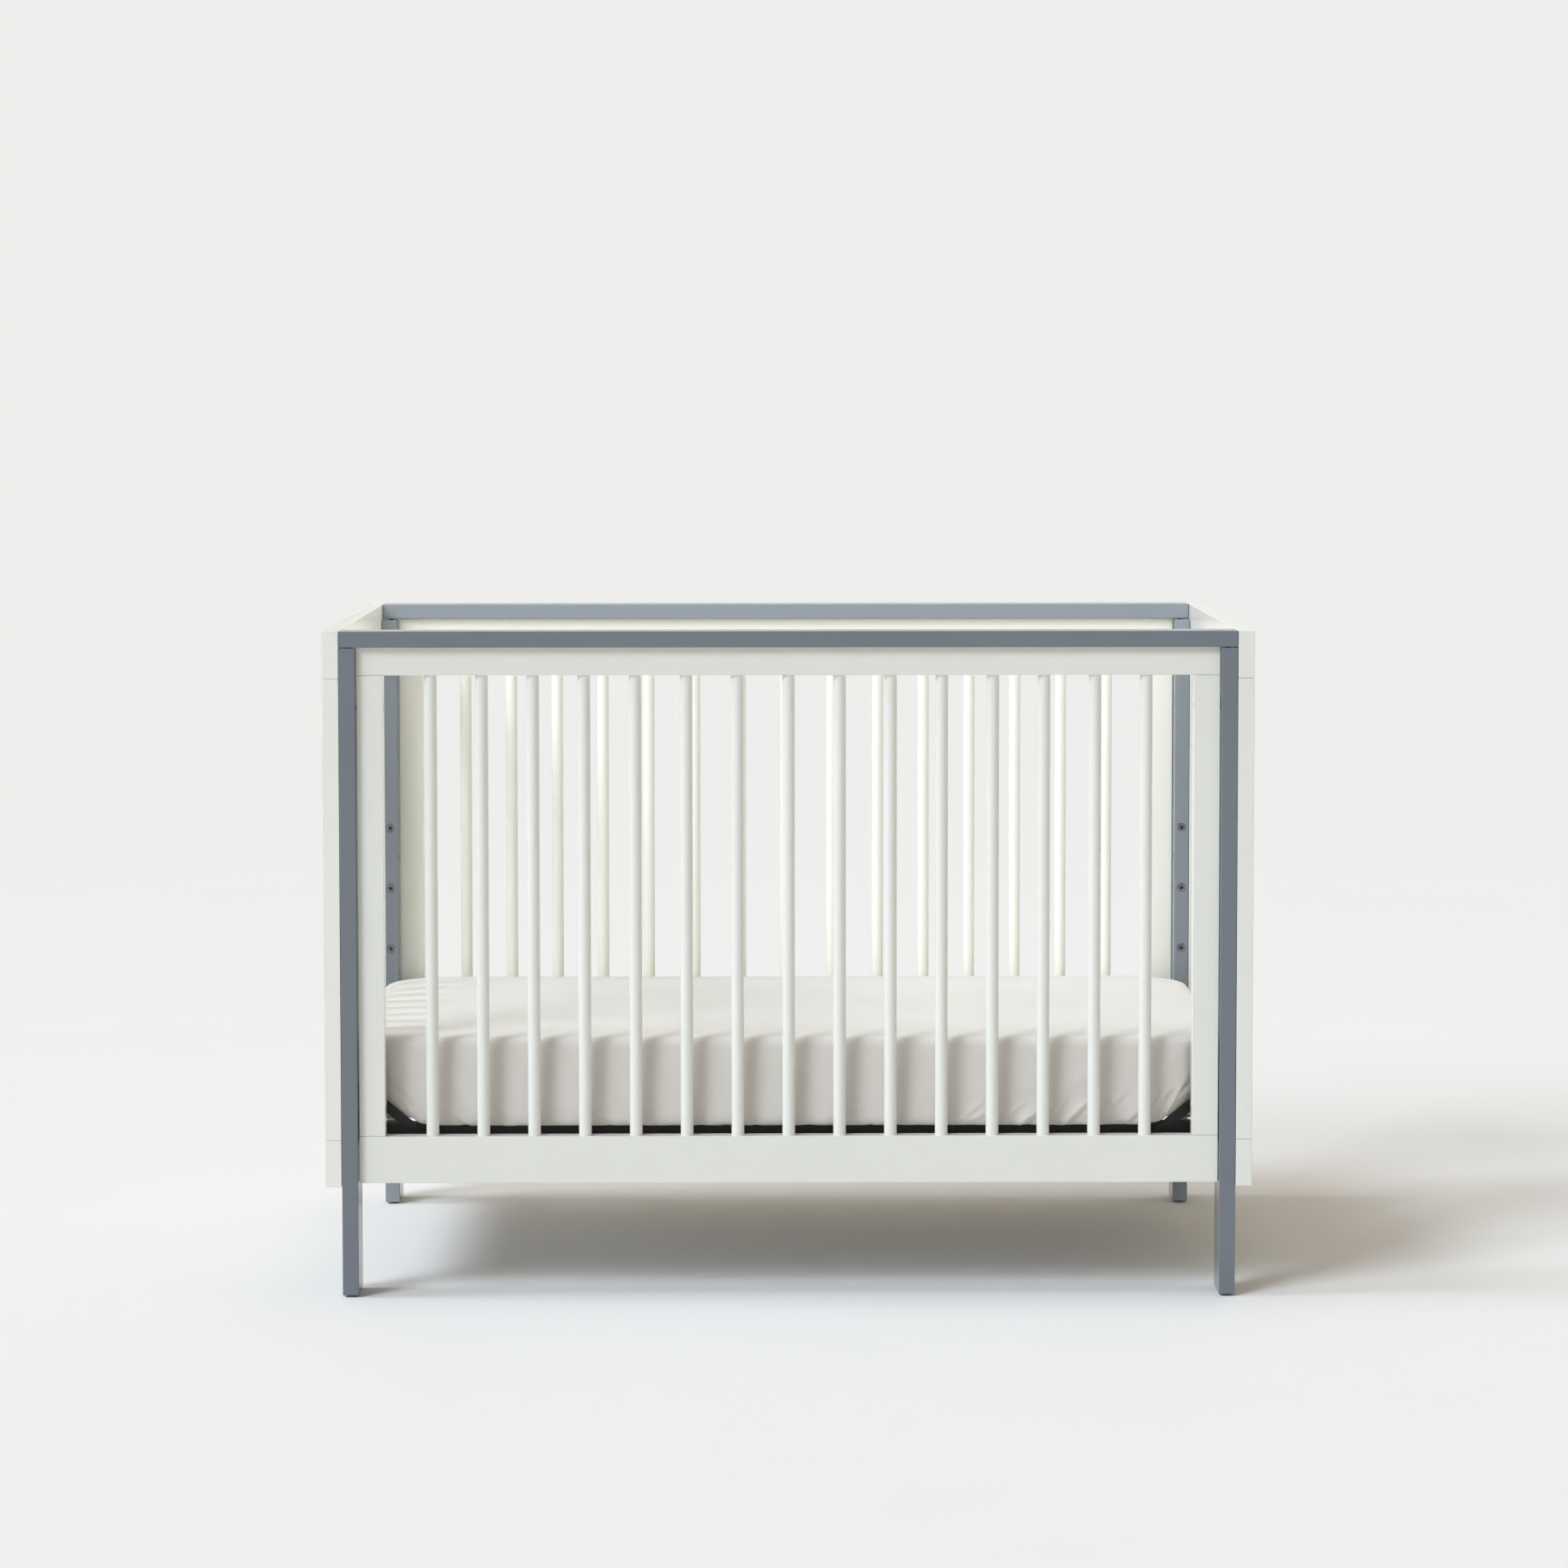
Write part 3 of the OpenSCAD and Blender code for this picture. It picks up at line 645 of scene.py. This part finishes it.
def make_sheet(pad):
    """The fitted cotton sheet: stretched over the pad, gathered under it by an elastic hem."""
    sheet = remeshed_core("cotton_sheet")
    data = sheet.data
    set_points(data, relaxed(settle(smoothed(data, points_of(data), 2), SHEET_INSET)))
    work = bmesh.new()
    work.from_mesh(data)
    co = np.array([v.co for v in work.verts])
    opening = (plan_distance(co, HEM) < 0) & (co[:, 2] < BOTTOM + 8 * MM)
    bmesh.ops.delete(work, geom=[v for v, gone in zip(work.verts, opening) if gone], context="VERTS")
    work.to_mesh(data)
    work.free()
    drape_sheet(sheet, pad)
    data = sheet.data
    keep_clear(data, pad.data, 0.7 * MM)
    refine_folded_sides(data)
    co = points_of(data)
    lifted = side_folds(co) + corner_pockets(co) + hem_gathers(co)
    co = co + normals_of(data) * lifted[:, None]
    co[:, 2] = np.maximum(co[:, 2], BOTTOM + 0.9 * MM)
    set_points(data, co)
    cloth_map(data)
    shell = sheet.modifiers.new("cloth_thickness", "SOLIDIFY")
    shell.thickness = 0.7 * MM
    shell.offset = 0
    bake_modifiers(sheet)
    shade_smooth(sheet.data)
    sheet.data.materials.append(percale_cotton("percale_cotton"))
    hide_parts("fitted_sheet")
    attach(sheet, "mattress")
    return sheet


def drape_sheet(sheet, pad):
    """Lets the sheet settle on the pad under its weight, with the elastic drawing in its hem."""
    pad.modifiers.new("collide", "COLLISION")
    pad.collision.thickness_outer = 0.8 * MM
    hem = sheet.vertex_groups.new(name="hem")
    co = points_of(sheet.data)
    beside_opening = (plan_distance(co, HEM) < ELASTIC_WIDTH) & (co[:, 2] < BOTTOM + 8 * MM)
    for index in np.nonzero(beside_opening)[0]:
        hem.add([int(index)], 1.0, "REPLACE")
    run_cloth(sheet, 16, 3 * MM, gravity=0.3, shrink=(-0.02, 0.06), hem="hem")
    sheet.vertex_groups.clear()
    pad.modifiers.clear()


# ---------------------------------------------------------------- repeated pieces

def geometry_tree(name, inputs):
    """A Geometry Nodes tree with named inputs, each (name, socket kind)."""
    tree = bpy.data.node_groups.new(name, "GeometryNodeTree")
    tree.interface.new_socket("Geometry", in_out="INPUT", socket_type="NodeSocketGeometry")
    tree.interface.new_socket("Geometry", in_out="OUTPUT", socket_type="NodeSocketGeometry")
    for label, kind in inputs:
        tree.interface.new_socket(label, in_out="INPUT", socket_type="NodeSocket" + kind)
    return tree, tree.nodes.new("NodeGroupInput"), tree.nodes.new("NodeGroupOutput")


def from_tree(name, tree, values):
    """Runs a tree with its inputs' values, and keeps what it makes as a plain mesh."""
    obj = new_object(name, bpy.data.meshes.new(name))
    modifier = obj.modifiers.new("made", "NODES")
    modifier.node_group = tree
    for item in tree.interface.items_tree:
        if item.item_type == "SOCKET" and item.in_out == "INPUT" and item.name in values:
            modifier[item.identifier] = values[item.name]
    bake_modifiers(obj)
    return obj


def spring_row_tree():
    """A row of tension springs at each end of the deck: close coils with a round hook at each end."""
    tree, given, made = geometry_tree("tension_springs", [
        ("Coil Radius", "Float"), ("Wire Radius", "Float"), ("Turns", "Float"), ("Coil Length", "Float"),
        ("Coil Start", "Float"), ("Hook Radius", "Float"), ("Count", "Int"), ("First", "Vector"),
        ("Step", "Vector"), ("Material", "Material")])
    values = given.outputs
    wire = add_node(tree, "GeometryNodeCurvePrimitiveCircle",
                    {"Resolution": 5, "Radius": values["Wire Radius"]})
    helix = add_node(tree, "GeometryNodeCurveSpiral", {
        "Resolution": 10, "Rotations": values["Turns"], "Start Radius": values["Coil Radius"],
        "End Radius": values["Coil Radius"], "Height": values["Coil Length"]})
    coil = add_node(tree, "GeometryNodeCurveToMesh",
                    {"Curve": helix.outputs[0], "Profile Curve": wire.outputs[0], "Fill Caps": True})
    coil_place = add_node(tree, "ShaderNodeCombineXYZ", {0: values["Coil Start"]})
    lying = add_node(tree, "GeometryNodeTransform", {
        "Geometry": coil.outputs[0], "Translation": coil_place.outputs[0], "Rotation": (0, math.pi / 2, 0)})
    ring = add_node(tree, "GeometryNodeCurvePrimitiveCircle",
                    {"Resolution": 20, "Radius": values["Hook Radius"]})
    hook = add_node(tree, "GeometryNodeCurveToMesh",
                    {"Curve": ring.outputs[0], "Profile Curve": wire.outputs[0]})
    coil_end = add_node(tree, "ShaderNodeMath", {0: values["Coil Start"], 1: values["Coil Length"]},
                        operation="ADD")
    hooks = []
    for edge, operation in ((values["Coil Start"], "SUBTRACT"), (coil_end.outputs[0], "ADD")):
        at = add_node(tree, "ShaderNodeMath", {0: edge, 1: values["Hook Radius"]}, operation=operation)
        place = add_node(tree, "ShaderNodeCombineXYZ", {0: at.outputs[0]})
        hooks.append(add_node(tree, "GeometryNodeTransform", {
            "Geometry": hook.outputs[0], "Translation": place.outputs[0],
            "Rotation": (math.pi / 2, 0, 0)}).outputs[0])
    spring = add_node(tree, "GeometryNodeJoinGeometry", {0: [lying.outputs[0], *hooks]}).outputs[0]
    line = add_node(tree, "GeometryNodeMeshLine", {
        "Count": values["Count"], "Start Location": values["First"], "Offset": values["Step"]}, mode="OFFSET")
    row = add_node(tree, "GeometryNodeInstanceOnPoints", {"Points": line.outputs[0], "Instance": spring})
    other_end = add_node(tree, "GeometryNodeTransform",
                         {"Geometry": row.outputs[0], "Rotation": (0, 0, math.pi)})
    rows = add_node(tree, "GeometryNodeJoinGeometry", {0: [row.outputs[0], other_end.outputs[0]]})
    both = add_node(tree, "GeometryNodeRealizeInstances", {"Geometry": rows.outputs[0]})
    smooth = add_node(tree, "GeometryNodeSetShadeSmooth", {"Geometry": both.outputs[0]})
    coloured = add_node(tree, "GeometryNodeSetMaterial",
                        {"Geometry": smooth.outputs[0], "Material": values["Material"]})
    tree.links.new(coloured.outputs[0], made.inputs[0])
    return tree


SPRING_COUNT = 11
SPRING_PITCH = 54 * MM
SPRING_WIRE = 1.2 * MM
SPRING_HOOK = 3.4 * MM
COIL_PITCH = 1.15 * SPRING_WIRE


def make_springs(material):
    """Tension springs between the long deck wires and the end rails."""
    low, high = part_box("deck_springs")
    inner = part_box("deck_long_wires")[1].x
    coil_radius = (high.z - low.z) / 2 - SPRING_WIRE / 2
    reach = SPRING_HOOK + SPRING_WIRE / 2
    start, end = inner + reach, high.x - SPRING_HOOK - reach
    row_z = (low.z + high.z) / 2
    springs = from_tree("tension_springs", spring_row_tree(), {
        "Coil Radius": coil_radius, "Wire Radius": SPRING_WIRE / 2, "Coil Length": end - start,
        "Turns": (end - start) / COIL_PITCH, "Coil Start": start, "Hook Radius": SPRING_HOOK,
        "Count": SPRING_COUNT, "First": (0, -SPRING_PITCH * (SPRING_COUNT - 1) / 2, row_z),
        "Step": (0, SPRING_PITCH, 0), "Material": material})
    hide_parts("deck_springs")
    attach(springs, "mattress_support")


def stitch_row_tree():
    """Stitches along a round-cornered outline, laid on a cloth's nearest face."""
    tree, given, made = geometry_tree("hem_stitches", [
        ("Width", "Float"), ("Length", "Float"), ("Corner", "Float"), ("Height", "Float"),
        ("Pitch", "Float"), ("Thread Radius", "Float"), ("Stitch Length", "Float"),
        ("Cloth", "Object"), ("Material", "Material")])
    values = given.outputs
    outline = add_node(tree, "GeometryNodeCurvePrimitiveQuadrilateral",
                       {"Width": values["Length"], "Height": values["Width"]}, mode="RECTANGLE")
    rounded = add_node(tree, "GeometryNodeFilletCurve", {
        "Curve": outline.outputs[0], "Radius": values["Corner"], "Count": 16}, mode="POLY")
    place = add_node(tree, "ShaderNodeCombineXYZ", {2: values["Height"]})
    raised = add_node(tree, "GeometryNodeTransform",
                      {"Geometry": rounded.outputs[0], "Translation": place.outputs[0]})
    dots = add_node(tree, "GeometryNodeCurveToPoints",
                    {"Curve": raised.outputs[0], "Length": values["Pitch"]}, mode="LENGTH")
    cloth = add_node(tree, "GeometryNodeObjectInfo", {"Object": values["Cloth"]})
    near = add_node(tree, "GeometryNodeProximity", {"Target": cloth.outputs["Geometry"]},
                    target_element="FACES")
    laid = add_node(tree, "GeometryNodeSetPosition",
                    {"Geometry": dots.outputs[0], "Position": near.outputs["Position"]})
    thread = add_node(tree, "GeometryNodeMeshCylinder", {
        "Vertices": 6, "Radius": values["Thread Radius"], "Depth": values["Stitch Length"]})
    stitches = add_node(tree, "GeometryNodeInstanceOnPoints", {
        "Points": laid.outputs[0], "Instance": thread.outputs[0], "Rotation": dots.outputs["Rotation"]})
    real = add_node(tree, "GeometryNodeRealizeInstances", {"Geometry": stitches.outputs[0]})
    smooth = add_node(tree, "GeometryNodeSetShadeSmooth", {"Geometry": real.outputs[0]})
    coloured = add_node(tree, "GeometryNodeSetMaterial",
                        {"Geometry": smooth.outputs[0], "Material": values["Material"]})
    tree.links.new(coloured.outputs[0], made.inputs[0])
    return tree


STITCH_INSETS = (46 * MM, 54 * MM)
STITCH_PITCH = 6 * MM
STITCH_LENGTH = 4 * MM
THREAD_RADIUS = 0.45 * MM


def make_hem_stitches(sheet):
    """Two rows of stitching that hold the elastic in the sheet's hem."""
    thread = elastic_thread("sewing_thread")
    tree = stitch_row_tree()
    rows = []
    for number, inset in enumerate(STITCH_INSETS, 1):
        row = from_tree(f"hem_stitches_{number}", tree, {
            "Width": 2 * (HALF_WIDTH - inset), "Length": 2 * (HALF_LENGTH - inset), "Corner": PLAN_RADIUS,
            "Height": BOTTOM, "Pitch": STITCH_PITCH, "Thread Radius": THREAD_RADIUS,
            "Stitch Length": STITCH_LENGTH, "Cloth": sheet, "Material": thread})
        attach(row, "mattress")
        rows.append(row)
    return rows


# ---------------------------------------------------------------- floor, backdrop and light

FLOOR_SIDE = 60
FLOOR_FADE_START, FLOOR_FADE_END = 2.5, 7.0
DOME_RADIUS = 30
STUDIO = "#eeeeec"


def add_studio_glow(tree):
    """The backdrop's own even light, which ends at the material's output."""
    glow = add_node(tree, "ShaderNodeEmission", {"Color": linear(STUDIO), "Strength": 1.0})
    tree.links.new(glow.outputs[0], tree.nodes["Material Output"].inputs[0])
    return glow.outputs[0]


def make_stage():
    """A pale floor that runs into an even pale backdrop on every side."""
    bpy.ops.mesh.primitive_plane_add(size=FLOOR_SIDE)
    floor = bpy.context.object
    floor.name = "floor"
    material, tree, shader = new_material("pale_studio_floor", Roughness=0.9, Specular_IOR_Level=0.1)
    fleck = mottle(tree, (400, 400, 400), detail=2)
    tint(tree, shader, fleck, "#efefee", "#eeeeec")
    glow = add_studio_glow(tree)
    place = add_node(tree, "ShaderNodeTexCoord").outputs["Object"]
    away = add_node(tree, "ShaderNodeVectorMath", {0: place}, operation="LENGTH").outputs["Value"]
    far = add_node(tree, "ShaderNodeMapRange",
                   {"Value": away, "From Min": FLOOR_FADE_START, "From Max": FLOOR_FADE_END})
    fade = add_node(tree, "ShaderNodeMixShader", {0: far.outputs[0], 1: shader.outputs[0], 2: glow})
    tree.links.new(fade.outputs[0], tree.nodes["Material Output"].inputs[0])
    floor.data.materials.append(material)
    bpy.ops.mesh.primitive_uv_sphere_add(segments=48, ring_count=24, radius=DOME_RADIUS)
    dome = bpy.context.object
    dome.name = "backdrop"
    material = bpy.data.materials.new("pale_backdrop")
    material.use_nodes = True
    tree = material.node_tree
    tree.nodes.remove(tree.nodes["Principled BSDF"])
    add_studio_glow(tree)
    dome.data.materials.append(material)
    dome.visible_diffuse = False
    dome.visible_shadow = False
    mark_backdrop(floor, dome)


def add_sun(name, towards, strength, softness, colour, lit=None):
    """A broad even light that travels in the given direction, onto the lit pieces only if they are given.
    Its softness is its angle in degrees."""
    data = bpy.data.lights.new(name, "SUN")
    data.energy = strength
    data.angle = math.radians(softness)
    data.color = linear(colour)[:3]
    sun = bpy.data.objects.new(name, data)
    scene.collection.objects.link(sun)
    sun.rotation_euler = Vector(towards).to_track_quat("-Z", "Y").to_euler()
    if lit:
        receivers = bpy.data.collections.new(f"lit_by_{name}")
        for piece in lit:
            receivers.objects.link(piece)
        sun.light_linking.receiver_collection = receivers


def make_world():
    """An even fill that is weaker from the front, where the room is darker."""
    world = bpy.data.worlds.new("studio")
    world.use_nodes = True
    scene.world = world
    tree = world.node_tree
    fill = tree.nodes["Background"]
    fill.inputs["Color"].default_value = linear("#fff4e3")
    way = add_node(tree, "ShaderNodeTexCoord").outputs["Generated"]
    parts = add_node(tree, "ShaderNodeSeparateXYZ", {0: way})
    level = add_node(tree, "ShaderNodeMapRange", {
        "Value": parts.outputs["Y"], "From Min": -0.8, "From Max": 0.3, "To Min": 0.15, "To Max": 0.64})
    tree.links.new(level.outputs[0], fill.inputs["Strength"])


def make_light():
    """Soft light from the front left and through the left end, and fills for the far parts and the bed."""
    make_world()
    rear = [node for name, node in nodes.items() if name.startswith(("rear_", "leg_rear", "cap_rail_rear"))]
    grey_rear = [node for node in rear if not node.name.startswith("rear_")]
    ends = [node for name, node in nodes.items() if name.startswith("left_end_")]
    past_end = [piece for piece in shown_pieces() if piece not in ends] + [bpy.data.objects["floor"]]
    bed = [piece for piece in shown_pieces() if piece.name in ("cotton_sheet", "mattress_pad")]
    add_sun("front_left_light", (0.575, 0.54, -0.61), 2.0, 24, "#e8f2ff")
    add_sun("left_light", (0.74, 0.03, -0.67), 1.2, 16, "#ecf4ff", past_end)
    add_sun("rear_fill_light", (0.1, 0.92, -0.38), 1.25, 40, "#fffff8", rear)
    add_sun("rear_post_light", (0.1, 0.92, -0.38), 1.9, 40, "#ffffff", grey_rear)
    add_sun("left_end_fill_light", (-0.97, 0.05, -0.25), 1.7, 40, "#fffff8", ends)
    add_sun("bed_light", (0, 0, -1), 0.9, 20, "#d2edff", bed)
    scene.view_settings.view_transform = "Standard"


# ---------------------------------------------------------------- the object

make_camera()
make_stage()
spring_material = finish_cad_nodes()
make_springs(spring_material)
mattress_pad = make_mattress()
cotton_sheet = make_sheet(mattress_pad)
hem_rows = make_hem_stitches(cotton_sheet)
make_light()
